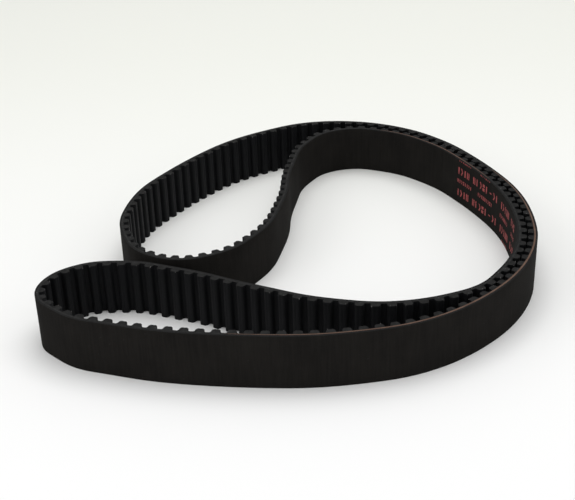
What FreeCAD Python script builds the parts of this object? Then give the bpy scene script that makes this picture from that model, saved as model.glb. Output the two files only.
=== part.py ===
import FreeCAD, Part
import math
import os
from bisect import bisect_right
from dataclasses import dataclass

# Endless synchronous (timing) belt, lying free in loose loops on one of its cut edges.
# Millimetres, +Z up. Z = 0 is the resting edge, and the origin is under the middle of the
# belt's bounding box. The belt is built from its pitch line, the closed plan curve that the
# tensile cords follow, as layers at set depths. Depth is measured from the pitch line and is
# positive towards the teeth, which face the inside of the loop.

# ---- belt size ----
tooth_pitch = 8.0
tooth_count = 200
belt_width = 30.0

# ---- layers, from the smooth back to the toothed face ----
backing_thickness = 1.10      # outer rubber, back surface to cords
cord_size = 0.90              # twisted glass-fibre cord, drawn square in section
pitch_line_to_land = 0.686    # cord middle to the bottom of the gaps, standard for the pitch

# ---- tensile cords ----
cord_spacing = 1.30           # from one turn to the next, across the width
cord_edge_cover = 0.60        # least rubber between the end turns and the cut edges

# ---- tooth ----
tooth_height = 3.05           # land to crest, over the facing
gap_width = 2.90              # flank to flank at the land, between two teeth
flank_angle = math.radians(10.0)
root_fillet = 0.70
crest_radius = 1.10
crest_dip = 0.12              # shallow hollow along each crest
tooth_lead = 3.20             # how far the teeth are moved on along the belt

# ---- how the free belt lies ----
tip_clearance = 0.60          # between crests where two strands lie side by side

# Points on the pitch line, in order: along the near strand, up the outer side, over the far
# bend and round the far loop. The pitch line is scaled so that its length is a whole number
# of teeth.
OUTER_STRAND = [
    (-131.0, -94.0), (-116.0, -116.0), (-84.0, -130.5), (-32.0, -142.0), (25.0, -144.2),
    (67.0, -134.9), (104.6, -108.9), (119.9, -90.8), (130.8, -71.5), (140.9, -6.0),
    (122.2, 61.4), (106.1, 91.2), (85.3, 114.0), (57.7, 129.2), (22.0, 133.1),
    (-21.6, 114.2), (-69.6, 62.4), (-91.5, 20.0), (-93.5, -28.0), (-79.8, -54.0),
    (-59.8, -63.2), (-37.4, -56.9), (-15.2, -31.4), (-2.2, 9.8), (3.6, 56.8),
    (14.2, 96.0), (28.0, 114.0), (46.0, 120.2), (71.4, 112.6),
]
# Places in OUTER_STRAND, in the order that the returning strand passes them tooth to tooth.
PASSED_PLACES = [11, 10, 9, 8, 7, 6]
# The returning strand after it leaves the outer one, round to the near loop.
RETURN_STRAND = [
    (80.0, -112.3), (52.0, -117.6), (17.0, -111.4), (-19.0, -95.2), (-55.0, -76.5),
    (-89.0, -65.0), (-112.0, -67.0), (-127.0, -79.0),
]

# ---- depths worked out from the layers ----
ply_depth = cord_size / 2
land_depth = pitch_line_to_land
facing_thickness = land_depth - ply_depth
crest_depth = land_depth + tooth_height
back_depth = -(ply_depth + backing_thickness)
strand_gap = 2 * crest_depth + tip_clearance
tooth_root_width = tooth_pitch - gap_width

FILLET_SHARE = 0.4            # most of a gap's width, or a tooth's height, that a rounding takes

SCALE_STEPS = 12              # enough to settle the length to far below a micron
STRAIGHT_BELOW = 1e-7         # curvature, per millimetre, under which a stretch is a line
UP = FreeCAD.Vector(0, 0, 1)


@dataclass
class Stretch:
    """One arc of the pitch line: start point, start direction, curvature, length, station."""

    x: float
    y: float
    dx: float
    dy: float
    curvature: float
    length: float
    station: float = 0.0

    def place(self, along, depth):
        """Plan point at a distance along the stretch and a depth towards the teeth."""
        turn = self.curvature * along
        if abs(self.curvature) < STRAIGHT_BELOW:
            ahead, aside = along, 0.0
        else:
            ahead = math.sin(turn) / self.curvature
            aside = (1 - math.cos(turn)) / self.curvature
        ahead -= depth * math.sin(turn)
        aside += depth * math.cos(turn)
        return FreeCAD.Vector(self.x + ahead * self.dx - aside * self.dy,
                              self.y + ahead * self.dy + aside * self.dx, 0)

    def direction(self, along):
        """Unit vector of travel at a distance along the stretch."""
        turn = self.curvature * along
        return FreeCAD.Vector(self.dx * math.cos(turn) - self.dy * math.sin(turn),
                              self.dx * math.sin(turn) + self.dy * math.cos(turn), 0)


def circle_direction(before, here, after):
    """Direction, at the middle one of three points, of the circle through them."""
    come = (here[0] - before[0], here[1] - before[1])
    go = (after[0] - here[0], after[1] - here[1])
    come_square = come[0] ** 2 + come[1] ** 2
    go_square = go[0] ** 2 + go[1] ** 2
    dx = come[0] / come_square + go[0] / go_square
    dy = come[1] / come_square + go[1] / go_square
    size = math.hypot(dx, dy)
    return (dx / size, dy / size)


def route_points(scale):
    """All points of the closed pitch line, with the returning strand held clear of the outer."""
    outer = [(x * scale, y * scale) for x, y in OUTER_STRAND]
    points = list(outer)
    for place in PASSED_PLACES:
        x, y = outer[place]
        dx, dy = circle_direction(outer[place - 1], outer[place], outer[place + 1])
        points.append((x - strand_gap * dy, y + strand_gap * dx))
    points += [(x * scale, y * scale) for x, y in RETURN_STRAND]
    return points


def tangent_arc(start, direction, end):
    """The arc that leaves start in the given direction and reaches end."""
    wx, wy = end[0] - start[0], end[1] - start[1]
    dx, dy = direction
    across = dx * wy - dy * wx
    ahead = dx * wx + dy * wy
    chord_square = wx ** 2 + wy ** 2
    curvature = 2 * across / chord_square
    if abs(curvature) < STRAIGHT_BELOW:
        length = math.sqrt(chord_square)
    else:
        length = 2 * math.atan2(across, ahead) / curvature
    return Stretch(start[0], start[1], dx, dy, curvature, length)


def arc_pair(start, leave, end, arrive):
    """Two arcs that join start to end, tangent to both directions and to each other."""
    vx, vy = end[0] - start[0], end[1] - start[1]
    tx, ty = leave[0] + arrive[0], leave[1] + arrive[1]
    bend = 1 - (leave[0] * arrive[0] + leave[1] * arrive[1])
    along = vx * tx + vy * ty
    square = vx ** 2 + vy ** 2
    if bend < 1e-9:
        reach = square / (2 * along)
    else:
        reach = (math.sqrt(along ** 2 + 2 * bend * square) - along) / (2 * bend)
    first = (start[0] + reach * leave[0], start[1] + reach * leave[1])
    second = (end[0] - reach * arrive[0], end[1] - reach * arrive[1])
    middle = ((first[0] + second[0]) / 2, (first[1] + second[1]) / 2)
    size = math.hypot(second[0] - first[0], second[1] - first[1])
    pass_by = ((second[0] - first[0]) / size, (second[1] - first[1]) / size)
    return [tangent_arc(start, leave, middle), tangent_arc(middle, pass_by, end)]


def tangent_arcs(points):
    """The closed chain of tangent arcs through the points."""
    count = len(points)
    headings = []
    for i in range(count):
        headings.append(circle_direction(points[i - 1], points[i], points[(i + 1) % count]))
    chain = []
    for i in range(count):
        after = (i + 1) % count
        chain += arc_pair(points[i], headings[i], points[after], headings[after])
    station = 0.0
    for stretch in chain:
        stretch.station = station
        station += stretch.length
    return chain


def chain_length(chain):
    return chain[-1].station + chain[-1].length


def solve_pitch_line():
    """Scale the points until the pitch line is tooth_count pitches long."""
    wanted = tooth_pitch * tooth_count
    scale = 1.0
    for _ in range(SCALE_STEPS):
        scale *= wanted / chain_length(tangent_arcs(route_points(scale)))
    return tangent_arcs(route_points(scale)), scale


class PitchLine:
    """The closed pitch line, read by station: the distance travelled along it."""

    def __init__(self, chain):
        self.chain = chain
        self.length = chain_length(chain)
        self.starts = [stretch.station for stretch in chain]

    def find(self, station):
        """The stretch that holds a station, and the distance along it."""
        wrapped = station % self.length
        index = bisect_right(self.starts, wrapped) - 1
        return self.chain[index], wrapped - self.starts[index]

    def place(self, station, depth):
        """Plan point at a station and depth, following the curve."""
        stretch, along = self.find(station)
        return stretch.place(along, depth)

    def beside(self, station, offset, depth):
        """Plan point at an offset and depth from a station, in that station's straight frame."""
        stretch, along = self.find(station)
        return stretch.place(along, depth) + stretch.direction(along) * offset

    def run(self, start, end, depth):
        """Edges that follow the curve at one depth from one station to another."""
        edges = []
        here = start
        while here < end - 1e-9:
            stretch, along = self.find(here)
            step = min(end - here, stretch.length - along)
            if step > 1e-7:
                first = stretch.place(along, depth)
                middle = stretch.place(along + step / 2, depth)
                last = stretch.place(along + step, depth)
                if abs(stretch.curvature) < STRAIGHT_BELOW:
                    edges.append(Part.LineSegment(first, last).toShape())
                else:
                    edges.append(Part.Arc(first, middle, last).toShape())
            here += max(step, 1e-7)
        return edges

    def loop(self, depth):
        """Closed wire at one depth."""
        return Part.Wire(self.run(0.0, self.length, depth))


def centred(chain):
    """Move the pitch line so that the belt's bounding box is centred on the origin."""
    box = PitchLine(chain).loop(back_depth).optimalBoundingBox(False)
    for stretch in chain:
        stretch.x -= box.Center.x
        stretch.y -= box.Center.y
    return PitchLine(chain), box


def endless_prism(outside, inside):
    """Solid between two closed plan wires, over the full width of the belt."""
    face = Part.makeFace([outside, inside], "Part::FaceMakerBullseye")
    return face.extrude(UP * belt_width)


def band(line, outer_depth, inner_depth):
    """Solid band between two depths."""
    return endless_prism(line.loop(outer_depth), line.loop(inner_depth))


@dataclass
class ToothForm:
    """Tooth outline, set in from the outside of the facing by a given amount."""

    inset: float

    def corner_reach(self, radius):
        """Distance from a corner to where its rounding starts."""
        return radius * math.tan((math.pi / 2 - flank_angle) / 2)

    def flank_offset(self, depth):
        """Half width of the tooth at a depth, on the straight flank."""
        lean = (depth - land_depth) * math.tan(flank_angle)
        return tooth_root_width / 2 - lean - self.inset / math.cos(flank_angle)

    def crest_half(self):
        """Points (offset, depth) of one crest corner: flank end, middle of the arc, crest end."""
        radius = crest_radius - self.inset
        crest = crest_depth - self.inset
        corner = self.flank_offset(crest)
        reach = self.corner_reach(radius)
        flank_end = (corner - reach * math.sin(-flank_angle), crest - reach * math.cos(flank_angle))
        crest_end = (corner - reach, crest)
        aim = (math.pi / 2 + flank_angle) / 2
        middle = (crest_end[0] + radius * math.cos(aim), crest - radius + radius * math.sin(aim))
        return flank_end, middle, crest_end

    def root_half(self):
        """Points of one root fillet: land end, middle of the arc, flank end."""
        fillet = min(root_fillet, FILLET_SHARE * gap_width, FILLET_SHARE * tooth_height)
        reach = self.corner_reach(fillet)
        root = tooth_root_width / 2
        land_end = (root + reach, land_depth)
        flank_end = (root - reach * math.sin(flank_angle), land_depth + reach * math.cos(flank_angle))
        aim = (math.pi / 2 - flank_angle) / 2
        middle = (land_end[0] - fillet * math.sin(aim),
                  land_depth + fillet - fillet * math.cos(aim))
        return land_end, middle, flank_end


def top_edges(line, station, form, low_left, low_right):
    """Edges over one tooth, from the foot of one flank to the foot of the other."""
    flank_end, middle, crest_end = form.crest_half()

    def left(point):
        return line.beside(station, -point[0], point[1])

    def right(point):
        return line.beside(station, point[0], point[1])

    dip = line.beside(station, 0.0, crest_depth - form.inset - crest_dip)
    return [
        Part.LineSegment(low_left, left(flank_end)).toShape(),
        Part.Arc(left(flank_end), left(middle), left(crest_end)).toShape(),
        Part.Arc(left(crest_end), dip, right(crest_end)).toShape(),
        Part.Arc(right(crest_end), right(middle), right(flank_end)).toShape(),
        Part.LineSegment(right(flank_end), low_right).toShape(),
    ]


def tooth_station(tooth):
    """Station of the middle of a tooth, counted from 0."""
    return (tooth + 0.5) * tooth_pitch + tooth_lead


def core_edges(line, station):
    """Edges of a tooth's rubber core that the facing lies on, and the core's foot stations."""
    form = ToothForm(facing_thickness)
    foot = form.flank_offset(ply_depth)
    low_left = line.place(station - foot, ply_depth)
    low_right = line.place(station + foot, ply_depth)
    return top_edges(line, station, form, low_left, low_right), station - foot, station + foot


def face_edges(line, station):
    """Edges of the facing's working surface over a tooth, and the stations of its land ends."""
    form = ToothForm(0.0)
    land_end, middle, flank_end = form.root_half()
    fillets = []
    for side in (-1, 1):
        on_land = line.place(station + side * land_end[0], land_depth)
        straight = line.beside(station, side * land_end[0], land_depth)
        between = line.beside(station, side * middle[0], middle[1]) + (on_land - straight) * 0.5
        on_flank = line.beside(station, side * flank_end[0], flank_end[1])
        fillets.append((on_land, between, on_flank))
    (land_left, bend_left, low_left), (land_right, bend_right, low_right) = fillets
    edges = [Part.Arc(land_left, bend_left, low_left).toShape()]
    edges += top_edges(line, station, form, low_left, low_right)
    edges.append(Part.Arc(low_right, bend_right, land_right).toShape())
    return edges, station - land_end[0], station + land_end[0]


def toothed_wire(line, tooth_edges, depth):
    """Closed wire that goes over every tooth and follows the belt between them."""
    edges = []
    last = None
    first = None
    for tooth in range(tooth_count):
        over, start, end = tooth_edges(line, tooth_station(tooth))
        if last is None:
            first = start
        else:
            edges += line.run(last, start, depth)
        edges += over
        last = end
    edges += line.run(last, first + line.length, depth)
    return Part.Wire(edges)


def make_backing(line):
    """Smooth outer rubber, from the ground back surface to the cords."""
    return band(line, back_depth, -ply_depth)


def make_tooth_cores(line):
    """Rubber cores of the teeth, one solid each, standing on the cord ply."""
    cores = []
    for tooth in range(tooth_count):
        over, start, end = core_edges(line, tooth_station(tooth))
        wire = Part.Wire(over + line.run(start, end, ply_depth))
        cores.append(Part.Face(wire).extrude(UP * belt_width))
    return Part.makeCompound(cores)


def make_facing(line):
    """Nylon facing, one endless skin over the tooth cores and the lands."""
    under = toothed_wire(line, core_edges, ply_depth)
    working = toothed_wire(line, face_edges, land_depth)
    return endless_prism(under, working)


def cord_heights():
    """Heights of the undersides of the cord turns: an even number, centred on the width."""
    room = belt_width - 2 * cord_edge_cover - cord_size
    pairs = int((room / cord_spacing + 1) / 2)
    turns = 2 * pairs
    lowest = belt_width / 2 - cord_spacing * (turns - 1) / 2 - cord_size / 2
    return [lowest + cord_spacing * turn for turn in range(turns)]


def ply_strip(face, bottom, top):
    """Level strip of the cord ply between two heights."""
    strip = face.extrude(UP * (top - bottom))
    strip.translate(UP * bottom)
    return strip


def make_cord_ply(line):
    """Left-hand and right-hand twisted cords in alternate turns, and the rubber between turns."""
    face = Part.makeFace([line.loop(-ply_depth), line.loop(ply_depth)], "Part::FaceMakerBullseye")
    cords = []
    fillings = []
    filled_to = 0.0
    for height in cord_heights():
        fillings.append(ply_strip(face, filled_to, height))
        filled_to = height + cord_size
        cords.append(ply_strip(face, height, filled_to))
    fillings.append(ply_strip(face, filled_to, belt_width))
    return Part.makeCompound(cords[0::2]), Part.makeCompound(cords[1::2]), Part.makeCompound(fillings)


def main():
    chain, scale = solve_pitch_line()
    line, box = centred(chain)
    s_cords, z_cords, fillings = make_cord_ply(line)
    nodes = {
        "backing_rubber": make_backing(line),
        "cord_s_twist": s_cords,
        "cord_z_twist": z_cords,
        "cord_filling_rubber": fillings,
        "tooth_rubber": make_tooth_cores(line),
        "facing_fabric": make_facing(line),
    }
    os.makedirs("parts", exist_ok=True)
    for name, shape in nodes.items():
        shape.exportStep("parts/" + name + ".step")
        print(f"{name}: {len(shape.Solids)} solids, valid {shape.isValid()}, "
              f"{shape.Volume:.1f} mm3")
    print(f"pitch line {line.length:.4f} mm, {tooth_count} teeth, point scale {scale:.5f}")
    print(f"outline {box.XLength:.2f} x {box.YLength:.2f} mm, centre was at "
          f"({box.Center.x:.3f}, {box.Center.y:.3f})")
    print(f"back to crest {crest_depth - back_depth:.2f} mm, tightest radius "
          f"{min(1 / abs(s.curvature) for s in chain):.1f} mm, {len(chain)} arcs")


main()
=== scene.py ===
import logging
import math
import random
from bisect import bisect_right
from dataclasses import dataclass, field
from enum import Enum
from typing import Callable, Optional, Sequence, Union

import bmesh
import bpy
from mathutils import Matrix, Vector
from mathutils.kdtree import KDTree

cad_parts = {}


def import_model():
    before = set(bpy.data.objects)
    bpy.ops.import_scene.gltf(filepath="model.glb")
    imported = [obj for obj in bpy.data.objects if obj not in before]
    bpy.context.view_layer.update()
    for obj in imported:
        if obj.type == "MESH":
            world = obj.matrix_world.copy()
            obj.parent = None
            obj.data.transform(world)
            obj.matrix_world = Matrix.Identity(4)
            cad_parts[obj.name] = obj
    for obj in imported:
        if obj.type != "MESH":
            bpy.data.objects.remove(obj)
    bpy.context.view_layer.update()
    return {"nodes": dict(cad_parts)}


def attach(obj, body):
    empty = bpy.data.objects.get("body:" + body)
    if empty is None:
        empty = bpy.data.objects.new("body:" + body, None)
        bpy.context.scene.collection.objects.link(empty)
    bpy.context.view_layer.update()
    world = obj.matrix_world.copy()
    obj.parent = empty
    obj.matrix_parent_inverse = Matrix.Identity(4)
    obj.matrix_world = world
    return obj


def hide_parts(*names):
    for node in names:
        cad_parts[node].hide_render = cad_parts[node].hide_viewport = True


# Looks of an endless timing belt that lies free in loose loops. Metres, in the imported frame.
# Every layer is modelled straight, one tooth pitch at a time: X runs along the belt, Y is the
# depth from the pitch line towards the teeth, and Z is the height above the resting edge. The
# cell is arrayed over the whole belt and bent along the pitch line with a Curve modifier.

LOG = logging.getLogger("timing_belt")
MM = 0.001
NEAR = 0.01 * MM
WELD = 0.02 * MM
BODY = "root"
FULL_TURN = 2 * math.pi
QUARTERS = (0.25, 0.5, 0.75)


class Side(Enum):
    """The two cut edges of the belt."""

    LOWER = "lower"
    UPPER = "upper"


class Twist(Enum):
    """Lay of a twisted cord."""

    S = -1
    Z = 1


class Mark(Enum):
    """Generic stamped marks, none of them a letter or a number."""

    BAR = "bar"
    PAIR = "pair"
    CHEVRON = "chevron"
    BLOCK = "block"
    DASH = "dash"


# ---------------------------------------------------------------------------------------------
# Sizes
# ---------------------------------------------------------------------------------------------


@dataclass(frozen=True)
class BeltSize:
    """Sizes of the belt's section, in metres."""

    pitch: float = 8.0 * MM
    teeth: int = 200
    width: float = 30.0 * MM
    cord: float = 0.90 * MM
    land: float = 0.686 * MM
    backing: float = 1.10 * MM
    tooth_height: float = 3.05 * MM
    root_width: float = 5.10 * MM
    flank_lean: float = math.radians(10.0)
    root_fillet: float = 0.80 * MM
    crest_radius: float = 1.50 * MM
    crest_dip: float = 0.12 * MM
    cord_lead: float = 2.60 * MM

    @property
    def length(self) -> float:
        """Length of the pitch line."""
        return self.pitch * self.teeth

    @property
    def ply(self) -> float:
        """Depth of the tooth side of the cords."""
        return self.cord / 2

    @property
    def back(self) -> float:
        """Depth of the back surface, which is negative."""
        return -(self.cord / 2 + self.backing)

    @property
    def facing(self) -> float:
        """Thickness of the woven facing."""
        return self.land - self.cord / 2

    @property
    def crest(self) -> float:
        """Depth of the tooth crests."""
        return self.land + self.tooth_height


# ---------------------------------------------------------------------------------------------
# Shader maths
# ---------------------------------------------------------------------------------------------

Number = Union[int, float]


class Value:
    """A socket that carries a number, with Python's operators as Math nodes."""

    def __init__(self, paint: "Paint", socket: bpy.types.NodeSocket) -> None:
        """Wrap a socket.

        Args:
            paint: The material that the socket belongs to.
            socket: The output socket.
        """
        self.paint = paint
        self.socket = socket

    def __add__(self, other: object) -> "Value":
        """Sum."""
        return self.paint.math("ADD", self, other)

    __radd__ = __add__

    def __mul__(self, other: object) -> "Value":
        """Product."""
        return self.paint.math("MULTIPLY", self, other)

    __rmul__ = __mul__

    def __sub__(self, other: object) -> "Value":
        """Difference."""
        return self.paint.math("SUBTRACT", self, other)

    def __rsub__(self, other: object) -> "Value":
        """Difference from a number."""
        return self.paint.math("SUBTRACT", other, self)

    def size(self) -> "Value":
        """Absolute value."""
        return self.paint.math("ABSOLUTE", self, 0.0)

    def sine(self) -> "Value":
        """Sine of an angle in radians."""
        return self.paint.math("SINE", self, 0.0)

    def ramp(self, low: Number, high: Number) -> "Value":
        """Smooth step from 0 at low to 1 at high.

        Args:
            low: Input that gives 0.
            high: Input that gives 1, which may be under low.

        Returns:
            The stepped value.
        """
        node = self.paint.node(
            "ShaderNodeMapRange",
            {"interpolation_type": "SMOOTHSTEP", "clamp": True},
            {"Value": self, "From Min": low, "From Max": high, "To Min": 0.0, "To Max": 1.0},
        )
        return Value(self.paint, node.outputs["Result"])


class Paint:
    """A node material and the few calls that build it."""

    def __init__(self, name: str) -> None:
        """Make an empty material with a Principled surface.

        Args:
            name: The material's name.
        """
        self.material = bpy.data.materials.new(name)
        self.material.use_nodes = True
        self.tree = self.material.node_tree
        self.tree.nodes.clear()
        self.output = self.tree.nodes.new("ShaderNodeOutputMaterial")
        self.surface = self.tree.nodes.new("ShaderNodeBsdfPrincipled")
        self.tree.links.new(self.surface.outputs["BSDF"], self.output.inputs["Surface"])

    def node(self, kind: str, settings: dict, inputs: dict) -> bpy.types.Node:
        """Add a node.

        Args:
            kind: The node's type.
            settings: Its properties, set first.
            inputs: Values, sockets or wrapped values by input name or index.

        Returns:
            The node.
        """
        made = self.tree.nodes.new(kind)
        for key, setting in settings.items():
            setattr(made, key, setting)
        for key, given in inputs.items():
            self.feed(made.inputs[key], given)
        return made

    def feed(self, socket: bpy.types.NodeSocket, given: object) -> None:
        """Link or set one input socket."""
        if isinstance(given, Value):
            self.tree.links.new(given.socket, socket)
        elif isinstance(given, bpy.types.NodeSocket):
            self.tree.links.new(given, socket)
        else:
            socket.default_value = given

    def math(self, operation: str, first: object, second: object) -> Value:
        """Add a Math node and wrap its output."""
        made = self.node("ShaderNodeMath", {"operation": operation}, {0: first, 1: second})
        return Value(self, made.outputs[0])

    def place(self) -> bpy.types.NodeSocket:
        """Object coordinates, in metres."""
        return self.node("ShaderNodeTexCoord", {}, {}).outputs["Object"]

    def split(self, vector: bpy.types.NodeSocket) -> tuple[Value, Value, Value]:
        """The three numbers of a vector."""
        made = self.node("ShaderNodeSeparateXYZ", {}, {0: vector})
        return tuple(Value(self, made.outputs[i]) for i in range(3))

    def chart(self) -> tuple[Value, Value]:
        """The piece's own UV: along the belt's surface and up its width, in metres."""
        made = self.node("ShaderNodeUVMap", {"uv_map": "surface"}, {})
        along, up, _ = self.split(made.outputs["UV"])
        return along, up

    def join(self, x: object, y: object, z: object) -> bpy.types.NodeSocket:
        """A vector of three numbers."""
        return self.node("ShaderNodeCombineXYZ", {}, {0: x, 1: y, 2: z}).outputs[0]

    def stretch(self, vector: bpy.types.NodeSocket, scale: Sequence[float]) -> bpy.types.NodeSocket:
        """A vector multiplied axis by axis."""
        made = self.node("ShaderNodeVectorMath", {"operation": "MULTIPLY"}, {0: vector, 1: scale})
        return made.outputs[0]

    def noise(self, vector: bpy.types.NodeSocket, scale: float, detail: float = 3.0,
              roughness: float = 0.55) -> Value:
        """Fractal noise.

        Args:
            vector: Where it is read.
            scale: Features per metre.
            detail: Octaves.
            roughness: Strength of the finer octaves.

        Returns:
            The noise, about 0 to 1.
        """
        made = self.node(
            "ShaderNodeTexNoise", {"noise_dimensions": "3D"},
            {"Vector": vector, "Scale": scale, "Detail": detail, "Roughness": roughness},
        )
        return Value(self, made.outputs["Fac"])

    def specks(self, vector: bpy.types.NodeSocket, scale: float, size: float) -> Value:
        """Small round specks.

        Args:
            vector: Where they are read.
            scale: Cells per metre.
            size: Radius of a speck as a share of a cell.

        Returns:
            1 inside a speck and 0 outside.
        """
        made = self.node(
            "ShaderNodeTexVoronoi", {"feature": "F1"}, {"Vector": vector, "Scale": scale},
        )
        return Value(self, made.outputs["Distance"]).ramp(size, size * 0.4)

    def blend(self, share: object, first: object, second: object) -> bpy.types.NodeSocket:
        """Mix two colours.

        Args:
            share: 0 for the first colour, 1 for the second.
            first: Colour or socket.
            second: Colour or socket.

        Returns:
            The mixed colour's socket.
        """
        made = self.node("ShaderNodeMix", {"data_type": "RGBA", "clamp_factor": True}, {0: share})
        self.feed(made.inputs[6], first)
        self.feed(made.inputs[7], second)
        return made.outputs[2]

    def bump(self, height: Value, strength: float, depth: float) -> bpy.types.NodeSocket:
        """A Bump node.

        Args:
            height: Height from 0 to 1.
            strength: Strength of the effect.
            depth: Height in metres of a full step.

        Returns:
            The bent normal.
        """
        made = self.node(
            "ShaderNodeBump", {}, {"Strength": strength, "Distance": depth, "Height": height},
        )
        return made.outputs["Normal"]

    def finish(self, constants: dict, varying: dict) -> bpy.types.Material:
        """Set the Principled surface's sockets.

        Args:
            constants: Plain values by socket name.
            varying: Sockets or wrapped values by socket name.

        Returns:
            The material.
        """
        for name, given in {**constants, **varying}.items():
            self.feed(self.surface.inputs[name], given)
        return self.material


def grey(level: float, warmth: float = 0.0) -> tuple[float, float, float, float]:
    """A grey with a little more red than blue.

    Args:
        level: Brightness, linear.
        warmth: Share by which red gains and blue loses.

    Returns:
        The colour.
    """
    return (level * (1 + warmth), level, level * (1 - warmth), 1.0)


# ---------------------------------------------------------------------------------------------
# Finishes
# ---------------------------------------------------------------------------------------------


@dataclass(frozen=True)
class CutEdgeLook:
    """Where a layer meets the cut edges: paler, rougher rubber with a torn grain."""

    size: BeltSize
    reach: float = 0.10 * MM
    coarse: float = 1500.0
    fine: float = 5200.0

    def mask(self, paint: Paint) -> Value:
        """1 on the two cut edges and 0 between them."""
        _, _, height = paint.split(paint.place())
        from_middle = (height - self.size.width / 2).size()
        half = self.size.width / 2
        return from_middle.ramp(half - 2 * self.reach, half - self.reach)

    def grain(self, paint: Paint) -> Value:
        """Torn grain of the sawn rubber."""
        coarse = paint.noise(paint.place(), self.coarse, 4.0, 0.65)
        fine = paint.noise(paint.place(), self.fine, 2.0, 0.6)
        return coarse * 0.65 + fine * 0.35


@dataclass(frozen=True)
class GroundRubber:
    """The smooth outer rubber, ground to thickness: dull charcoal with a fine grain."""

    size: BeltSize
    dark: float = 0.0086
    light: float = 0.0152
    edge: float = 0.018
    cloud: float = 60.0
    upright: float = 900.0
    level: float = 2600.0
    grain: float = 3800.0
    specks: float = 320.0
    relief: float = 0.06 * MM

    def material(self) -> bpy.types.Material:
        """Build the material."""
        paint = Paint("ground_rubber")
        place = paint.place()
        cloud = paint.noise(place, self.cloud, 4.0, 0.6)
        upright = paint.noise(paint.stretch(place, (1.0, 1.0, 0.06)), self.upright, 3.0, 0.6)
        level = paint.noise(paint.stretch(place, (0.05, 0.05, 1.0)), self.level, 3.0, 0.6)
        grain = paint.noise(place, self.grain, 3.0, 0.7)
        tone = cloud * 0.30 + upright * 0.38 + grain * 0.32
        base = paint.blend(tone.ramp(0.30, 0.70), grey(self.dark, 0.06), grey(self.light, 0.09))
        speck = paint.specks(place, self.specks, 0.10) * cloud.ramp(0.45, 0.62)
        base = paint.blend(speck * 0.35, base, grey(0.06, 0.05))
        edge = CutEdgeLook(self.size)
        on_edge = edge.mask(paint)
        torn = edge.grain(paint)
        cut = paint.blend(torn.ramp(0.32, 0.68), grey(self.edge * 0.55), grey(self.edge * 1.35))
        colour = paint.blend(on_edge, base, cut)
        relief = level * 0.25 + upright * 0.35 + grain * 0.40
        relief = relief * (1 - on_edge) + torn * on_edge * 1.8
        rough = 0.76 + grain * 0.12 + on_edge * 0.08
        return paint.finish(
            {"Specular IOR Level": 0.03},
            {
                "Base Color": colour,
                "Roughness": rough,
                "Normal": paint.bump(relief, 0.55, self.relief),
            },
        )


@dataclass(frozen=True)
class SawnRubber:
    """Rubber seen only where the belt was cut to width: dark grey, torn, with pale specks."""

    name: str
    size: BeltSize
    level: float = 0.0135
    patch: float = 420.0
    specks: float = 900.0
    relief: float = 0.12 * MM

    def material(self) -> bpy.types.Material:
        """Build the material."""
        paint = Paint(self.name)
        place = paint.place()
        edge = CutEdgeLook(self.size)
        torn = edge.grain(paint)
        patch = paint.noise(place, self.patch, 2.0, 0.5)
        base = paint.blend(
            (torn * 0.6 + patch * 0.4).ramp(0.34, 0.66), grey(self.level * 0.45), grey(self.level * 1.5),
        )
        speck = paint.specks(place, self.specks, 0.22) * patch.ramp(0.60, 0.72)
        colour = paint.blend(speck * 0.8, base, grey(0.30))
        return paint.finish(
            {"Specular IOR Level": 0.12},
            {
                "Base Color": colour,
                "Roughness": 0.72 + torn * 0.2,
                "Normal": paint.bump(torn, 0.8, self.relief),
            },
        )


@dataclass(frozen=True)
class WovenNylon:
    """The facing: fine black stretch weave, a little paler where it was cut."""

    size: BeltSize
    thread: float = 0.34 * MM
    level: float = 0.0046
    edge: float = 0.014
    deep: tuple[float, float, float] = (0.62, 0.68, 0.80)
    pale: tuple[float, float, float] = (1.55, 1.66, 1.90)
    patch: float = 260.0
    streak: float = 1300.0
    relief: float = 0.05 * MM

    def tint(self, shares: Sequence[float]) -> tuple[float, ...]:
        """The level times a share for each of red, green and blue."""
        return tuple(self.level * share for share in shares) + (1.0,)

    def material(self) -> bpy.types.Material:
        """Build the material."""
        paint = Paint("woven_nylon")
        along, up = paint.chart()
        place = paint.place()
        warp = (along * (FULL_TURN / self.thread)).sine()
        weft = (up * (FULL_TURN / self.thread)).sine()
        diagonal = ((along + up) * (FULL_TURN / (2 * self.thread))).sine()
        weave = warp * 0.25 + weft * 0.25 + diagonal * 0.35 + 0.5
        patch = paint.noise(place, self.patch, 3.0, 0.6)
        streak = paint.noise(paint.stretch(place, (1.0, 1.0, 0.05)), self.streak, 3.0, 0.6)
        tone = weave * 0.25 + patch * 0.35 + streak * 0.40
        base = paint.blend(tone.ramp(0.28, 0.72), self.tint(self.deep), self.tint(self.pale))
        edge = CutEdgeLook(self.size)
        on_edge = edge.mask(paint)
        colour = paint.blend(on_edge * 0.7, base, grey(self.edge))
        relief = weave * 0.7 + streak * 0.3
        return paint.finish(
            {"Specular IOR Level": 0.12, "Sheen Weight": 0.01, "Sheen Roughness": 0.5},
            {
                "Base Color": colour,
                "Roughness": 0.52 + patch * 0.16 + on_edge * 0.15,
                "Normal": paint.bump(relief, 0.5, self.relief),
            },
        )


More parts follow.
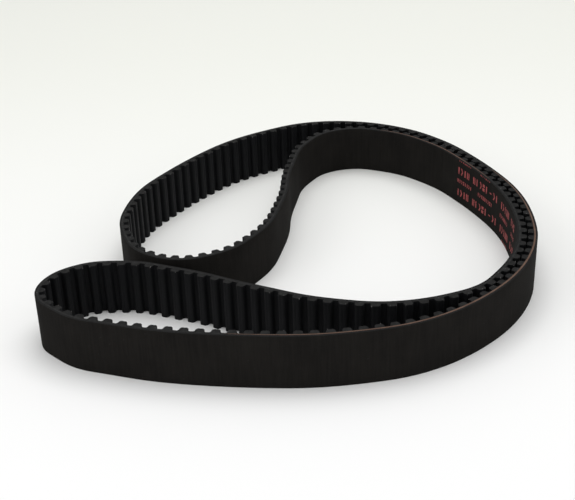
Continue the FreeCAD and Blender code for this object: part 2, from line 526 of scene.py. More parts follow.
@dataclass(frozen=True)
class GlassCord:
    """Cut glass-fibre cord in its brown adhesive dip."""

    pitch: float = 1.1 * MM
    gap: tuple[float, float, float, float] = (0.050, 0.026, 0.017, 1.0)
    dull: tuple[float, float, float, float] = (0.100, 0.045, 0.024, 1.0)
    bright: tuple[float, float, float, float] = (0.165, 0.088, 0.055, 1.0)
    relief: float = 0.12 * MM

    def material(self) -> bpy.types.Material:
        """Build the material."""
        paint = Paint("glass_cord")
        along, across = paint.chart()
        place = paint.place()
        ply = ((along + across * 1.2) * (FULL_TURN / self.pitch)).sine() * 0.5 + 0.5
        strand = paint.noise(paint.join(along * 0.25 + across * 0.3, across, 0.0), 5200.0, 3.0, 0.6)
        patch = paint.noise(place, 140.0, 3.0, 0.6)
        brown = paint.blend(patch.ramp(0.35, 0.65), self.dull, self.bright)
        colour = paint.blend((ply * 0.4 + strand * 0.6).ramp(0.25, 0.75), self.gap, brown)
        return paint.finish(
            {"Specular IOR Level": 0.30, "Sheen Weight": 0.05},
            {
                "Base Color": colour,
                "Roughness": 0.55 + strand * 0.2,
                "Normal": paint.bump(ply * 0.5 + strand * 0.5, 0.7, self.relief),
            },
        )


@dataclass(frozen=True)
class StampInk:
    """Dull red marking ink, thin and worn on the ground rubber."""

    worn: tuple[float, float, float, float] = (0.085, 0.026, 0.026, 1.0)
    full: tuple[float, float, float, float] = (0.35, 0.075, 0.075, 1.0)

    def material(self) -> bpy.types.Material:
        """Build the material."""
        paint = Paint("stamp_ink")
        place = paint.place()
        worn = paint.noise(place, 1500.0, 3.0, 0.6)
        patch = paint.noise(place, 300.0, 2.0, 0.5)
        thin = (worn * 0.6 + patch * 0.4).ramp(0.34, 0.54)
        colour = paint.blend(thin, self.worn, self.full)
        return paint.finish(
            {"Specular IOR Level": 0.15},
            {"Base Color": colour, "Roughness": 0.62 + worn * 0.15},
        )


@dataclass(frozen=True)
class PaleThread:
    """Undyed ends of facing threads, dusty grey."""

    def material(self) -> bpy.types.Material:
        """Build the material."""
        paint = Paint("pale_thread")
        dust = paint.noise(paint.place(), 900.0, 3.0, 0.6)
        colour = paint.blend(dust.ramp(0.35, 0.65), grey(0.10), grey(0.50, 0.04))
        return paint.finish(
            {"Specular IOR Level": 0.2}, {"Base Color": colour, "Roughness": 0.8 + dust * 0.1},
        )


@dataclass(frozen=True)
class StudioFloor:
    """Plain pale floor with painted shade: slightly warmer and darker towards the back, where the light
    falls off.
    """

    level: float = 0.88
    far: tuple[float, float, float, float] = (0.790, 0.798, 0.752, 1.0)
    painted_shade_from: float = -0.25
    painted_shade_to: float = 0.45

    def material(self) -> bpy.types.Material:
        """Build the material."""
        paint = Paint("studio_floor")
        soft = paint.noise(paint.place(), 3.0, 2.0, 0.5)
        _, depth, _ = paint.split(paint.place())
        # Painted shade: the floor turns darker and warmer towards the back, standing in for the light's
        # fall-off.
        colour = paint.blend(depth.ramp(self.painted_shade_from, self.painted_shade_to), grey(self.level), self.far)
        return paint.finish(
            {"Specular IOR Level": 0.1}, {"Base Color": colour, "Roughness": 0.9 + soft * 0.05},
        )


# ---------------------------------------------------------------------------------------------
# Modelling helpers
# ---------------------------------------------------------------------------------------------


class Bench:
    """One mesh object on the bench, worked with edit-mode operators."""

    def __init__(self, name: str) -> None:
        """Take the primitive that was just added.

        Args:
            name: The piece's name.
        """
        self.object = bpy.context.object
        self.object.name = name
        self.object.data.name = name

    @staticmethod
    def clear() -> None:
        """Leave edit mode and deselect everything."""
        if bpy.context.object and bpy.context.object.mode != "OBJECT":
            bpy.ops.object.mode_set(mode="OBJECT")
        bpy.ops.object.select_all(action="DESELECT")

    @classmethod
    def block(cls, name: str, low: Sequence[float], high: Sequence[float]) -> "Bench":
        """Start from a block between two corners."""
        cls.clear()
        middle = [(a + b) / 2 for a, b in zip(low, high)]
        bpy.ops.mesh.primitive_cube_add(size=1.0, location=middle)
        bench = cls(name)
        bench.object.scale = [b - a for a, b in zip(low, high)]
        bench.settle()
        return bench

    @classmethod
    def sheet(cls, name: str, depth: float, length: float, height: float) -> "Bench":
        """Start from an upright flat sheet that faces the tooth side."""
        cls.clear()
        bpy.ops.mesh.primitive_plane_add(
            size=1.0, location=(length / 2, depth, height / 2), rotation=(-math.pi / 2, 0, 0),
        )
        bench = cls(name)
        bench.object.scale = (length, height, 1.0)
        bench.settle()
        return bench

    @classmethod
    def join(cls, benches: Sequence["Bench"]) -> "Bench":
        """Join several pieces into the first one."""
        cls.clear()
        for bench in benches:
            bench.object.select_set(True)
        bpy.context.view_layer.objects.active = benches[0].object
        bpy.ops.object.join()
        return benches[0]

    def take_up(self) -> None:
        """Make this the only selected object, and the active one."""
        self.clear()
        bpy.context.view_layer.objects.active = self.object
        self.object.select_set(True)

    def settle(self) -> None:
        """Put the object's place, turn and size into its mesh."""
        bpy.ops.object.transform_apply(location=True, rotation=True, scale=True)

    def edit(self) -> bmesh.types.BMesh:
        """Enter edit mode with nothing selected and give the edit mesh."""
        if self.object.mode != "EDIT":
            bpy.context.view_layer.objects.active = self.object
            bpy.ops.object.mode_set(mode="EDIT")
        bpy.ops.mesh.select_mode(type="FACE")
        bpy.ops.mesh.select_all(action="DESELECT")
        return bmesh.from_edit_mesh(self.object.data)

    def done(self) -> None:
        """Leave edit mode."""
        bpy.ops.object.mode_set(mode="OBJECT")

    def pick(self, kind: str, test: Callable[[object], bool]) -> int:
        """Select the vertices, edges or faces that pass a test.

        Args:
            kind: VERT, EDGE or FACE.
            test: Tells whether an element is wanted.

        Returns:
            How many were selected.
        """
        self.edit()
        bpy.ops.mesh.select_mode(type=kind)
        mesh = bmesh.from_edit_mesh(self.object.data)
        elements = {"VERT": mesh.verts, "EDGE": mesh.edges, "FACE": mesh.faces}[kind]
        wanted = [element for element in elements if test(element)]
        for element in wanted:
            element.select_set(True)
        bmesh.update_edit_mesh(self.object.data)
        return len(wanted)

    def shift(self, test: Callable[[bmesh.types.BMVert], bool], by: Sequence[float]) -> None:
        """Move the vertices that pass a test."""
        self.pick("VERT", test)
        bpy.ops.transform.translate(value=by)
        self.done()

    def slice(self, axis: int, places: Sequence[float]) -> None:
        """Cut edge loops across the piece.

        Args:
            axis: 0, 1 or 2 for the axis that the cuts are square to.
            places: Where the cuts are, along that axis.
        """
        normal = [0.0, 0.0, 0.0]
        normal[axis] = 1.0
        for place in places:
            point = [0.0, 0.0, 0.0]
            point[axis] = place
            self.edit()
            bpy.ops.mesh.select_all(action="SELECT")
            bpy.ops.mesh.bisect(plane_co=point, plane_no=normal)
        self.done()

    def drop_faces(self, test: Callable[[bmesh.types.BMFace], bool]) -> None:
        """Delete the faces that pass a test."""
        if self.pick("FACE", test):
            bpy.ops.mesh.delete(type="FACE")
        self.done()

    def modify(self, kind: str, **settings: object) -> None:
        """Add a modifier, set it and apply it."""
        self.take_up()
        modifier = self.object.modifiers.new(kind.lower(), kind)
        for key, setting in settings.items():
            setattr(modifier, key, setting)
        bpy.ops.object.modifier_apply(modifier=modifier.name)

    def weld(self, distance: float) -> None:
        """Merge vertices that lie within a distance of each other."""
        self.edit()
        bpy.ops.mesh.select_all(action="SELECT")
        bpy.ops.mesh.remove_doubles(threshold=distance)
        self.done()

    def smooth(self, angle: float) -> None:
        """Shade smooth except across edges sharper than an angle in degrees."""
        self.take_up()
        bpy.ops.object.shade_smooth_by_angle(angle=math.radians(angle))

    def chart(self, place: Callable[[Vector], tuple[float, float]]) -> None:
        """Give the piece a UV map from a rule.

        Args:
            place: Gives the two coordinates of a point.
        """
        layer = self.object.data.uv_layers.new(name="surface")
        vertices = self.object.data.vertices
        for loop in self.object.data.loops:
            layer.data[loop.index].uv = place(vertices[loop.vertex_index].co)


# ---------------------------------------------------------------------------------------------
# The pitch line
# ---------------------------------------------------------------------------------------------


@dataclass
class PitchLine:
    """The closed line that the cords follow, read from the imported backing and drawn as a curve."""

    size: BeltSize
    backing: bpy.types.Object
    teeth: bpy.types.Object
    spacing: float = 1.0 * MM
    points: list[Vector] = field(default_factory=list)
    curve: Optional[bpy.types.Object] = None

    def upper_outline(self) -> list[Vector]:
        """The back surface's upper rim, in order, as plan points."""
        mesh = bmesh.new()
        mesh.from_mesh(self.backing.data)
        bmesh.ops.remove_doubles(mesh, verts=mesh.verts, dist=0.002 * MM)
        top = max(vertex.co.z for vertex in mesh.verts)
        rim: dict[int, list[int]] = {}
        places = {}
        mesh.verts.index_update()
        for edge in mesh.edges:
            if any(abs(vertex.co.z - top) > NEAR for vertex in edge.verts):
                continue
            lids = [abs(face.normal.z) > 0.9 for face in edge.link_faces]
            if any(lids) and not all(lids):
                a, b = edge.verts[0], edge.verts[1]
                rim.setdefault(a.index, []).append(b.index)
                rim.setdefault(b.index, []).append(a.index)
                places[a.index] = a.co.to_2d()
                places[b.index] = b.co.to_2d()
        mesh.free()
        loops = []
        unused = set(rim)
        while unused:
            start = min(unused)
            loop = [start]
            unused.discard(start)
            while True:
                ahead = [index for index in rim[loop[-1]] if index in unused]
                if not ahead:
                    break
                loop.append(ahead[0])
                unused.discard(ahead[0])
            loops.append([places[index] for index in loop])
        return max(loops, key=self.round_length)

    @staticmethod
    def round_length(points: Sequence[Vector]) -> float:
        """Length of a closed chain of points."""
        return sum((points[i] - points[i - 1]).length for i in range(len(points)))

    @staticmethod
    def signed_area(points: Sequence[Vector]) -> float:
        """Area of a closed chain, positive when it runs anticlockwise."""
        return sum(points[i - 1].cross(points[i]) for i in range(len(points))) / 2

    def read(self) -> "PitchLine":
        """Offset the rim to the pitch line, starting at the near loop's tip."""
        outline = self.upper_outline()
        if self.signed_area(outline) < 0:
            outline.reverse()
        inward = -self.size.back
        count = len(outline)
        moved = []
        for i, here in enumerate(outline):
            come = (here - outline[i - 1]).normalized()
            go = (outline[(i + 1) % count] - here).normalized()
            along = (come + go).normalized()
            moved.append(here + Vector((-along.y, along.x)) * inward)
        start = min(range(count), key=lambda i: moved[i].x)
        moved = moved[start:] + moved[:start]
        self.points = self.even(moved, 0.0)
        self.points = self.even(moved, self.tooth_phase() - self.size.pitch / 2)
        return self

    def even(self, chain: Sequence[Vector], start: float) -> list[Vector]:
        """Points evenly spaced along a closed chain.

        Args:
            chain: The chain's points.
            start: Distance along it of the first new point.

        Returns:
            The new points.
        """
        closed = list(chain) + [chain[0]]
        travelled = [0.0]
        for a, b in zip(closed, closed[1:]):
            travelled.append(travelled[-1] + (b - a).length)
        total = travelled[-1]
        count = round(total / self.spacing)
        points = []
        for i in range(count):
            wanted = (start + total * i / count) % total
            index = bisect_right(travelled, wanted) - 1
            share = (wanted - travelled[index]) / (travelled[index + 1] - travelled[index])
            points.append(closed[index].lerp(closed[index + 1], share))
        return points

    def tooth_phase(self) -> float:
        """How far past the line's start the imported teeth's middles fall, within one pitch."""
        count = len(self.points)
        step = self.length() / count
        tree = KDTree(count)
        for i, point in enumerate(self.points):
            tree.insert(point.to_3d(), i)
        tree.balance()
        pitch = self.length() / self.size.teeth
        across = ahead = 0.0
        for vertex in self.teeth.data.vertices:
            if vertex.co.z > NEAR:
                continue
            flat = vertex.co.to_2d()
            _, index, _ = tree.find(flat.to_3d())
            here = self.points[index]
            along = (self.points[(index + 1) % count] - self.points[index - 1]).normalized()
            angle = FULL_TURN * (index * step + (flat - here).dot(along)) / pitch
            across += math.sin(angle)
            ahead += math.cos(angle)
        return math.atan2(across, ahead) / FULL_TURN * pitch

    def draw(self) -> bpy.types.Object:
        """Make the curve object that the layers are bent along."""
        data = bpy.data.curves.new("pitch_line", "CURVE")
        data.dimensions = "3D"
        data.twist_mode = "Z_UP"
        spline = data.splines.new("POLY")
        spline.points.add(len(self.points) - 1)
        for point, place in zip(spline.points, self.points):
            point.co = (place.x, place.y, 0.0, 1.0)
        spline.use_cyclic_u = True
        self.curve = bpy.data.objects.new("pitch_line", data)
        bpy.context.scene.collection.objects.link(self.curve)
        return self.curve

    def length(self) -> float:
        """Length of the drawn line."""
        return self.round_length(self.points)

    def discard(self) -> None:
        """Remove the curve once everything is bent."""
        bpy.data.objects.remove(self.curve)


# ---------------------------------------------------------------------------------------------
# Layers
# ---------------------------------------------------------------------------------------------


@dataclass
class Layer:
    """What every layer of the belt shares: its sizes and the line it is bent along."""

    size: BeltSize
    line: PitchLine

    def repeat(self, bench: Bench, merge: bool) -> None:
        """Array one pitch over the whole belt."""
        step = self.line.length() / self.size.teeth
        bench.object.scale.x = step / self.size.pitch
        bench.take_up()
        bench.settle()
        bench.modify(
            "ARRAY", count=self.size.teeth, use_relative_offset=False, use_constant_offset=True,
            constant_offset_displace=(step, 0.0, 0.0), use_merge_vertices=merge,
            merge_threshold=0.002 * MM,
        )

    def bend(self, bench: Bench) -> None:
        """Bend a straight piece along the pitch line."""
        bench.modify("CURVE", object=self.line.curve, deform_axis="POS_X")

    def hand_over(self, bench: Bench, slot: str, nodes: Sequence[str],
                  material: bpy.types.Material) -> bpy.types.Object:
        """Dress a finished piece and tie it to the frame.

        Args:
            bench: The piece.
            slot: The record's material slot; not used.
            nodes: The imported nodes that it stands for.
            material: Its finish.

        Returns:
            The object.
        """
        piece = bench.object
        piece.data.materials.clear()
        piece.data.materials.append(material)
        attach(piece, BODY)
        if nodes:
            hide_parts(*nodes)
        LOG.info("%s: %d faces", piece.name, len(piece.data.polygons))
        return piece


@dataclass
class Backing(Layer):
    """The smooth outer rubber."""

    edge_round: float = 0.14 * MM
    rows: int = 9

    def build(self) -> bpy.types.Object:
        """Model, array and bend the backing."""
        size = self.size
        bench = Bench.block("back_rubber", (0, size.back, 0), (size.pitch, -size.ply, size.width))
        bench.drop_faces(lambda face: abs(face.normal.x) > 0.9)
        bench.pick("EDGE", self.is_outer_rim)
        bpy.ops.mesh.bevel(offset=self.edge_round, segments=2, affect="EDGES")
        bench.done()
        bench.slice(0, [size.pitch * share for share in QUARTERS])
        step = size.width / self.rows
        bench.slice(2, [step * row for row in range(1, self.rows)])
        self.repeat(bench, True)
        self.bend(bench)
        bench.weld(WELD)
        bench.smooth(40.0)
        return self.hand_over(
            bench, "backing", ["backing_rubber"], GroundRubber(size).material(),
        )

    def is_outer_rim(self, edge: bmesh.types.BMEdge) -> bool:
        """Whether an edge is one of the back surface's two rims."""
        return all(abs(vertex.co.y - self.size.back) < NEAR for vertex in edge.verts) and (
            abs(edge.verts[0].co.x - edge.verts[1].co.x) > self.size.pitch / 2
        )


@dataclass
class ToothSheet(Layer):
    """The tooth form as one upright sheet for a single pitch, set in by a given amount."""

    inset: float = 0.0
    rows: int = 5

    def flank_offset(self, depth: float) -> float:
        """Half width of the tooth at a depth, on its straight flank."""
        lean = (depth - self.size.land) * math.tan(self.size.flank_lean)
        return self.size.root_width / 2 - lean - self.inset / math.cos(self.size.flank_lean)

    def corner_reach(self, radius: float) -> float:
        """Distance from a corner to where its rounding starts."""
        return radius * math.tan((math.pi / 2 - self.size.flank_lean) / 2)

    def is_upright(self, edge: bmesh.types.BMEdge, depth: float) -> bool:
        """Whether an edge runs up the width at a depth."""
        a, b = edge.verts[0].co, edge.verts[1].co
        return abs(a.z - b.z) > self.size.width / 2 and abs(a.y - depth) < NEAR


@dataclass
class Facing(ToothSheet):
    """The woven facing over the teeth and lands."""

    margin: float = 0.3 * MM
    skin_gap: float = 0.01 * MM
    dip_share: float = 0.55
    lift: float = 0.1 * MM

    def build(self) -> bpy.types.Object:
        """Model one pitch of the facing, array it, bend it and give it its thickness."""
        size = self.size
        middle = size.pitch / 2
        root = self.flank_offset(size.land)
        crest = self.flank_offset(size.crest)
        bench = Bench.sheet("woven_facing", size.land, size.pitch, size.width)
        bench.slice(0, [middle - root, middle + root])
        bench.pick("FACE", lambda face: abs(face.calc_center_median().x - middle) < root / 2)
        bpy.ops.mesh.extrude_region_move(
            TRANSFORM_OT_translate={"value": (0.0, size.tooth_height, 0.0)},
        )
        bpy.ops.transform.resize(
            value=(crest / root, 1.0, 1.0), center_override=(middle, size.crest, size.width / 2),
        )
        bench.done()
        bench.drop_faces(lambda face: abs(face.normal.z) > 0.9)
        bench.pick("EDGE", lambda edge: self.is_upright(edge, size.crest))
        bpy.ops.mesh.bevel(
            offset=self.corner_reach(size.crest_radius), segments=3, affect="EDGES",
        )
        bench.pick("EDGE", lambda edge: self.is_upright(edge, size.land) and self.is_inside(edge))
        bpy.ops.mesh.bevel(
            offset=self.corner_reach(size.root_fillet), segments=2, affect="EDGES",
        )
        bench.done()
        self.hollow_crest(bench, crest - self.corner_reach(size.crest_radius))
        step = size.width / self.rows
        rows = [step * row for row in range(1, self.rows)]
        bench.slice(2, [self.margin] + rows + [size.width - self.margin])
        self.chart_profile(bench)
        self.repeat(bench, True)
        self.bend(bench)
        bench.weld(WELD)
        bench.modify(
            "SOLIDIFY", thickness=size.facing - self.skin_gap, offset=-1.0, use_even_offset=True,
        )
        bench.smooth(50.0)
        return self.hand_over(bench, "facing", ["facing_fabric"], WovenNylon(size).material())

    def is_inside(self, edge: bmesh.types.BMEdge) -> bool:
        """Whether an edge is away from the ends of the cell."""
        return 0.05 * MM < edge.verts[0].co.x < self.size.pitch - 0.05 * MM

    def hollow_crest(self, bench: Bench, half: float) -> None:
        """Cut the crest into strips and lower them into a shallow hollow.

        Args:
            bench: The cell.
            half: Half the flat width of the crest.
        """
        middle = self.size.pitch / 2
        offsets = [-half * self.dip_share, 0.0, half * self.dip_share]
        bench.slice(0, [middle + offset for offset in offsets])
        for offset in offsets:
            dip = self.size.crest_dip * (1 - (offset / half) ** 2)
            bench.shift(
                lambda vertex: abs(vertex.co.x - middle - offset) < NEAR
                and vertex.co.y > self.size.land + self.lift,
                (0.0, -dip, 0.0),
            )

    def chart_profile(self, bench: Bench) -> None:
        """UV: length along the profile, and height."""
        low = [v.co for v in bench.object.data.vertices if v.co.z < NEAR]
        left = sorted((co for co in low if co.x < self.size.pitch / 2),
                      key=lambda co: (round(co.x, 6), co.y))
        right = sorted((co for co in low if co.x >= self.size.pitch / 2),
                       key=lambda co: (round(co.x, 6), -co.y))
        chain = left + right
        lengths = [0.0]
        for a, b in zip(chain, chain[1:]):
            lengths.append(lengths[-1] + (b - a).length)
        table = {(round(co.x, 6), round(co.y, 6)): length for co, length in zip(chain, lengths)}
        bench.chart(lambda co: (table[(round(co.x, 6), round(co.y, 6))], co.z))


@dataclass
class ToothCores(ToothSheet):
    """The rubber cores under the facing, seen only at the cut edges."""

    clearance: float = 0.02 * MM

    def build(self) -> bpy.types.Object:
        """Model one core, array it and bend the row."""
        size = self.size
        self.inset = size.facing + self.clearance
        middle = size.pitch / 2
        foot = self.flank_offset(size.ply)
        top = size.crest - self.inset
        crest = self.flank_offset(top)
        bench = Bench.block(
            "tooth_cores", (middle - foot, size.ply, 0.0), (middle + foot, top, size.width),
        )
        bench.pick("FACE", lambda face: face.normal.y > 0.9)
        bpy.ops.transform.resize(
            value=(crest / foot, 1.0, 1.0), center_override=(middle, top, size.width / 2),
        )
        bench.pick("EDGE", lambda edge: self.is_upright(edge, top))
        radius = size.crest_radius - size.facing
        bpy.ops.mesh.bevel(offset=self.corner_reach(radius), segments=3, affect="EDGES")
        bench.done()
        bench.slice(0, [middle])
        bench.shift(
            lambda vertex: abs(vertex.co.x - middle) < NEAR and vertex.co.y > top - NEAR,
            (0.0, -size.crest_dip, 0.0),
        )
        self.repeat(bench, False)
        self.bend(bench)
        bench.smooth(30.0)
        return self.hand_over(
            bench, "tooth_core", ["tooth_rubber"], SawnRubber("sawn_tooth_rubber", size).material(),
        )


@dataclass
class CordPly(Layer):
    """The rubber between the cord turns, seen as a narrow strip on the cut edges."""

    def build(self) -> bpy.types.Object:
        """Model the strip, array it and bend it."""
        size = self.size
        bench = Bench.block("cord_filling", (0, -size.ply, 0), (size.pitch, size.ply, size.width))
        bench.drop_faces(lambda face: abs(face.normal.x) > 0.9)
        bench.slice(0, [size.pitch * share for share in QUARTERS])
        self.repeat(bench, True)
        self.bend(bench)
        bench.weld(WELD)
        bench.smooth(30.0)
        return self.hand_over(
            bench, "filling", ["cord_filling_rubber"],
            SawnRubber("sawn_filling_rubber", size, 0.018).material(),
        )


@dataclass
class CutCord(Layer):
    """One twisted cord where its winding runs out through the cut edges.

    Stations are measured along the belt from the near loop's tip. upper_share shortens the
    exposure on the upper edge, and spread widens the cord.
    """

    twist: Twist = Twist.S
    upper_middle: float = 0.0
    lower_middle: float = 0.0
    proud: float = 0.05 * MM
    sunk: float = 0.30 * MM
    spread: float = 1.28
    upper_share: float = 1.0
    lower_share: float = 0.2
    ripple: float = 0.16
    ripple_length: float = 0.9 * MM
    ripple_growth: float = 1.7
    waves: int = 6
    samples: int = 420

    def build(self) -> bpy.types.Object:
        """Model both exposed stretches, bend them and join them."""
        bench = Bench.join([
            self.stretch(Side.UPPER, self.upper_middle),
            self.stretch(Side.LOWER, self.lower_middle),
        ])
        bench.smooth(60.0)
        node = "cord_s_twist" if self.twist is Twist.S else "cord_z_twist"
        return self.hand_over(bench, "cord", [node], GlassCord().material())

    def stretch(self, side: Side, middle: float) -> Bench:
        """One exposed stretch: a long lens that is widest where the cord's middle is cut.

        Args:
            side: The cut edge that it lies in.
            middle: Station of its widest place.

        Returns:
            The bent stretch.
        """
        size = self.size
        radius = size.cord / 2
        half_length = radius / size.cord_lead * size.length
        if side is Side.UPPER:
            half_length *= self.upper_share
        Bench.clear()
        bpy.ops.mesh.primitive_grid_add(
            x_subdivisions=self.samples, y_subdivisions=6, size=1.0, location=(0, 0, 0),
        )
        bench = Bench(f"cut_cord_{self.twist.name.lower()}")
        upper = side is Side.UPPER
        face_height = size.width + self.proud if upper else -self.proud * self.lower_share
        out = 1.0 if upper else -1.0
        wander = random.Random(7 if upper else 11)
        phases = [wander.uniform(0, FULL_TURN) for _ in range(self.waves)]
        for vertex in bench.object.data.vertices:
            along = vertex.co.x * 2
            across = vertex.co.y * 2
            half_width = radius * math.sqrt(max(0.0, 1 - along ** 2))
            station = middle + along * half_length
            ripple = sum(
                math.sin(station * FULL_TURN / (self.ripple_length * self.ripple_growth ** (i + 1)) + phase)
                for i, phase in enumerate(phases)
            ) / self.waves
            half_width *= self.spread + self.ripple * ripple
            crown = self.proud * 0.6 * (1 - across ** 2) * (0.5 + half_width / radius / 2)
            vertex.co = (station, across * half_width, face_height + out * crown)
        bench.modify("SOLIDIFY", thickness=self.sunk, offset=-out)
        bench.chart(lambda co: (co.x, co.y))
        self.bend(bench)
        LOG.info("%s cord on the %s edge at station %.0f mm", self.twist.name, side.value, middle / MM)
        return bench


@dataclass
class BatchMarks(Layer):
    """Red stamped batch marks on the smooth back: rows of bars and arrows that spell nothing."""

    start: float = 1.170
    proud: float = 0.04 * MM
    sunk: float = 0.05 * MM
    tall: float = 4.6 * MM
    small: float = 2.5 * MM
    tall_rows: tuple[float, ...] = (5.2 * MM, 20.2 * MM)
    small_row: float = 14.2 * MM

    def build(self) -> bpy.types.Object:
        """Model every mark flat, join them and bend them onto the back."""
        marks = []
        first = [Mark.BAR, Mark.CHEVRON, Mark.BAR, Mark.PAIR]
        later = [Mark.PAIR, Mark.BAR, Mark.CHEVRON, Mark.BLOCK, Mark.BAR]
        tall = (
            (first, 0.0, 3.6), (later[:2], 18.4, 3.4), (later[2:], 26.6, 3.6), ([Mark.DASH], 39.4, 3.2),
            (first[1:3], 44.4, 3.8), (first + later[:1], 57.0, 3.6), (later[1:4], 80.0, 4.0),
        )
        for row in self.tall_rows:
            for kinds, along, step in tall:
                marks += self.group(kinds, along * MM, row, self.tall, step * MM)
        small = (
            ((later + first)[:8], 0.0, 2.15), ((first + later)[:9], 24.5, 2.15),
            (first + later[:3], 56.0, 2.3), (later[:4], 82.0, 2.3),
        )
        for kinds, along, step in small:
            marks += self.group(kinds, along * MM, self.small_row, self.small, step * MM)
        cut_off = (
            ((first + later)[:7], 1.0, self.size.width - 1.0 * MM, 0.8, 2.15),
            ((later + first)[:6], 27.0, self.size.width - 1.0 * MM, 0.8, 2.15),
            ((later + first)[:6], 62.0, 0.3 * MM, 1.3, 2.3),
        )
        for kinds, along, low, height, step in cut_off:
            marks += self.group(kinds, along * MM, low, height * MM, step * MM)
        bench = Bench.join(marks)
        self.bend(bench)
        bench.smooth(30.0)
        return self.hand_over(bench, "backing", [], StampInk().material())

    def group(self, kinds: Sequence[Mark], along: float, low: float, height: float,
              step: float) -> list[Bench]:
        """Marks side by side.

        Args:
            kinds: The marks, in order.
            along: Where the first one starts, past the start of the stamp.
            low: Height of their feet.
            height: How tall they are.
            step: Distance from one to the next.

        Returns:
            The modelled marks.
        """
        made = []
        for place, kind in enumerate(kinds):
            left = self.start + along + place * step
            made += self.model(kind, left, low, height, step * 0.80)
        return made

    def model(self, kind: Mark, left: float, low: float, height: float,
              width: float) -> list[Bench]:
        """One mark, as thin raised ink."""
        if kind is Mark.BAR:
            return [self.slab(left + width * 0.25, low, width * 0.42, height)]
        if kind is Mark.PAIR:
            return [
                self.slab(left, low, width * 0.36, height),
                self.slab(left + width * 0.60, low, width * 0.36, height),
            ]
        if kind is Mark.BLOCK:
            return [
                self.slab(left, low, width * 0.9, height * 0.42),
                self.slab(left, low + height * 0.58, width * 0.9, height * 0.42),
            ]
        if kind is Mark.DASH:
            return [self.slab(left, low + height * 0.45, width, height * 0.16)]
        bench = self.slab(left, low, width * 0.40, height)
        bench.slice(2, [low + height / 2])
        bench.shift(
            lambda vertex: abs(vertex.co.z - low - height / 2) < NEAR, (width * 0.45, 0.0, 0.0),
        )
        return [bench]

    def slab(self, left: float, low: float, width: float, height: float) -> Bench:
        """A thin block of ink on the back surface."""
        back = self.size.back
        return Bench.block(
            "batch_marks",
            (left, back - self.proud, low), (left + width, back + self.sunk, low + height),
        )


@dataclass
class EdgeFibres(Layer):
    """Pale ends of facing threads that stand out where the teeth were cut through."""

    share: float = 0.55
    length: float = 0.75 * MM
    thickness: float = 0.16 * MM
    upper_depth: float = 0.40 * MM
    lower_height: float = 0.55 * MM
    seed: int = 23

    def build(self) -> bpy.types.Object:
        """Model one thread end, copy it to the tooth corners and bend the row."""
        size = self.size
        choose = random.Random(self.seed)
        step = self.line.length() / size.teeth
        Bench.clear()
        bpy.ops.mesh.primitive_cone_add(
            vertices=5, radius1=self.thickness / 2, radius2=self.thickness / 5,
            depth=self.length, location=(0.0, 0.0, self.length / 2),
        )
        pattern = Bench("facing_threads")
        pattern.settle()
        pattern.slice(2, [self.length * 0.35, self.length * 0.65])
        copies = []
        crest = size.root_width / 2 - size.tooth_height * math.tan(size.flank_lean)
        for tooth in range(size.teeth):
            for side in (-1, 1):
                for top in (False, True):
                    if choose.random() > self.share:
                        continue
                    offset = side * (crest - choose.uniform(0.1, 0.9) * MM)
                    depth = size.crest - choose.uniform(0.15, 0.55) * MM
                    height = size.width - self.upper_depth if top else self.lower_height
                    turned = Matrix.Rotation(choose.uniform(0, FULL_TURN), 4, "Z")
                    lean = Matrix.Rotation(choose.uniform(0.3, 1.1), 4, "X")
                    flat = Matrix.Scale(1.0 if top else -0.25, 4, (0, 0, 1))
                    grow = Matrix.Scale(choose.uniform(0.5, 1.2), 4)
                    copy = pattern.object.copy()
                    copy.data = pattern.object.data.copy()
                    bpy.context.scene.collection.objects.link(copy)
                    place = Vector(((tooth + 0.5) * step + offset, depth, height))
                    copy.matrix_world = Matrix.Translation(place) @ flat @ turned @ lean @ grow
                    copies.append(copy)
        Bench.clear()
        for copy in copies:
            copy.select_set(True)
        bpy.context.view_layer.objects.active = pattern.object
        pattern.object.select_set(True)
        pattern.settle()
        home = Vector((step / 2, size.crest - 0.4 * MM, size.width - 0.3 * MM))
        pattern.object.data.transform(Matrix.Translation(home))
        bpy.ops.object.join()
        pattern.edit()
        bpy.ops.mesh.select_all(action="SELECT")
        bpy.ops.mesh.normals_make_consistent(inside=False)
        pattern.done()
        self.bend(pattern)
        pattern.smooth(60.0)
        return self.hand_over(pattern, "facing", [], PaleThread().material())


# ---------------------------------------------------------------------------------------------
# Studio
# ---------------------------------------------------------------------------------------------


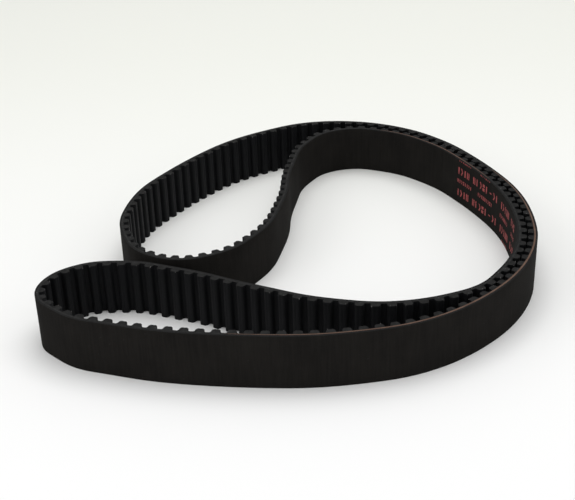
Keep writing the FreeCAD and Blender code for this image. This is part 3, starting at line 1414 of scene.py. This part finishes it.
@dataclass
class Studio:
    """Floor, lights and camera."""

    aim: tuple[float, float, float] = (-5.04 * MM, 5.74 * MM, 0.0)
    distance: float = 677.93 * MM
    elevation: float = math.radians(27.762)
    roll: float = math.radians(-1.853)
    lens: float = 70.19624
    sensor: float = 36.0
    sky: float = 0.62
    floor_size: float = 9.0
    floor_middle: float = 1.5
    wall_height: float = 5.0

    def place_camera(self) -> None:
        """Add the camera on its line of sight."""
        data = bpy.data.cameras.new("camera")
        data.sensor_width = self.sensor
        data.lens = self.lens
        data.clip_start = 0.01
        data.clip_end = 20.0
        camera = bpy.data.objects.new("camera", data)
        bpy.context.scene.collection.objects.link(camera)
        back = Vector((0.0, -math.cos(self.elevation), math.sin(self.elevation)))
        camera.location = Vector(self.aim) + back * self.distance
        tilt = Matrix.Rotation(math.pi / 2 - self.elevation, 4, "X")
        spin = Matrix.Rotation(self.roll, 4, "Z")
        camera.rotation_euler = (tilt @ spin).to_euler()
        bpy.context.scene.camera = camera

    def lay_floor(self) -> None:
        """A plain pale floor at the height of the resting edge, with an upright back wall."""
        Bench.clear()
        bpy.ops.mesh.primitive_plane_add(size=1.0, location=(0.0, self.floor_middle, 0.0))
        bench = Bench("studio_floor")
        bench.object.scale = (self.floor_size, self.floor_size, 1.0)
        bench.settle()
        far = self.floor_middle + self.floor_size / 2 - 1.0
        bench.pick("EDGE", lambda edge: all(vertex.co.y > far for vertex in edge.verts))
        bpy.ops.mesh.extrude_region_move(
            TRANSFORM_OT_translate={"value": (0.0, 0.0, self.wall_height)},
        )
        bench.done()
        bench.object.data.materials.append(StudioFloor().material())

    def add_light(self, name: str, place: Sequence[float], size: float, power: float) -> None:
        """Add a square soft light that faces the belt.

        Args:
            name: The light's name.
            place: Where it hangs.
            size: Its side length.
            power: Its power in watts.
        """
        data = bpy.data.lights.new(name, "AREA")
        data.shape = "SQUARE"
        data.size = size
        data.energy = power
        light = bpy.data.objects.new(name, data)
        bpy.context.scene.collection.objects.link(light)
        light.location = place
        aim = Vector((0.0, 0.0, 0.0)) - Vector(place)
        light.rotation_euler = aim.to_track_quat("-Z", "Y").to_euler()

    def light(self) -> None:
        """Soft studio light from above and both sides."""
        world = bpy.data.worlds.new("studio_world")
        world.use_nodes = True
        background = world.node_tree.nodes["Background"]
        background.inputs["Color"].default_value = (1.0, 1.0, 1.0, 1.0)
        background.inputs["Strength"].default_value = self.sky
        bpy.context.scene.world = world
        for name, place, size, power in (
            ("top_light", (0.15, 0.2, 1.6), 1.4, 15.0),
            ("left_light", (-1.3, -0.7, 1.0), 0.9, 4.5),
            ("right_light", (1.4, -0.5, 0.9), 0.9, 1.4),
        ):
            self.add_light(name, place, size, power)
        bpy.context.scene.view_settings.view_transform = "Standard"

    def build(self) -> None:
        """Set the whole studio."""
        self.lay_floor()
        self.light()
        self.place_camera()


def main() -> None:
    """Build the belt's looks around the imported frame."""
    logging.basicConfig(level=logging.INFO, format="%(message)s")
    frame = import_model()
    size = BeltSize()
    nodes = frame["nodes"]
    line = PitchLine(size, nodes["backing_rubber"], nodes["tooth_rubber"]).read()
    line.draw()
    LOG.info("pitch line %.2f mm from %d points", line.length() / MM, len(line.points))
    Backing(size, line).build()
    CordPly(size, line).build()
    ToothCores(size, line).build()
    Facing(size, line).build()
    CutCord(
        size, line, twist=Twist.S, upper_middle=0.275, lower_middle=1.205, spread=1.08,
        upper_share=0.56,
    ).build()
    CutCord(
        size, line, twist=Twist.Z, upper_middle=1.150, lower_middle=0.405, spread=0.80,
        upper_share=0.20,
    ).build()
    BatchMarks(size, line).build()
    EdgeFibres(size, line).build()
    line.discard()
    Studio().build()


if __name__ == "__main__":
    main()
